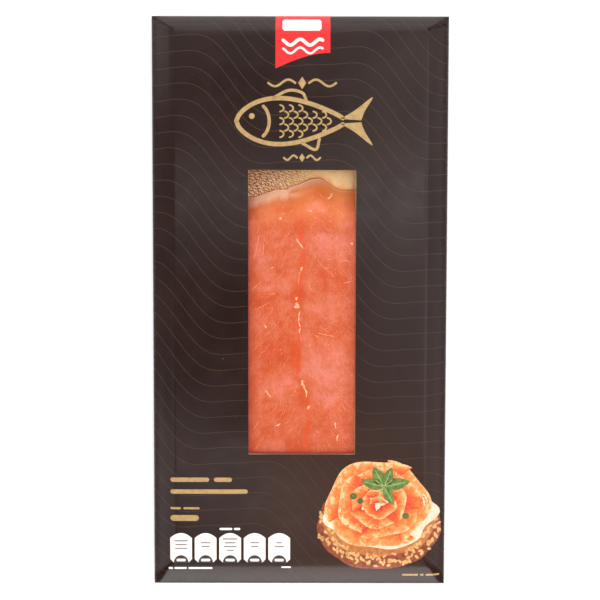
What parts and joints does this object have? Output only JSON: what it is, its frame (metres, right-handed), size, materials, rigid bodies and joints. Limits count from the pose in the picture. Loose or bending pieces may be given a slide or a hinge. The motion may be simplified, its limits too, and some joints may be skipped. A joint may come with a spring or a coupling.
{
  "type": "pack of sliced smoked salmon",
  "caption": "Flat rectangular card sleeve with a long window in its front, over a side of thin fish slices under clear film on a gold board.",
  "frame": {"origin": "middle of the back of the sleeve, which is the face the pack lies on", "axes": "+Z out of the front, +Y up the front towards the end of the pack where the gold board shows, +X to the right as the front is seen"},
  "size_m": [0.155, 0.3, 0.0136],
  "materials": {
    "card": "dark brown printed card with a satin varnish",
    "gold_foil": "embossed gold metallised board",
    "salmon": "moist smoked salmon flesh",
    "film": "clear vacuum film"
  },
  "bodies": {
    "root": {"card_sleeve": "card", "gold_board": "gold_foil", "salmon_slice_1": "salmon", "salmon_slice_2": "salmon", "salmon_slice_3": "salmon", "salmon_slice_4": "salmon", "salmon_slice_5": "salmon", "salmon_slice_6": "salmon", "salmon_slice_7": "salmon", "salmon_slice_8": "salmon", "salmon_slice_9": "salmon", "salmon_slice_10": "salmon", "clear_film": "film"}
  },
  "joints": []
}
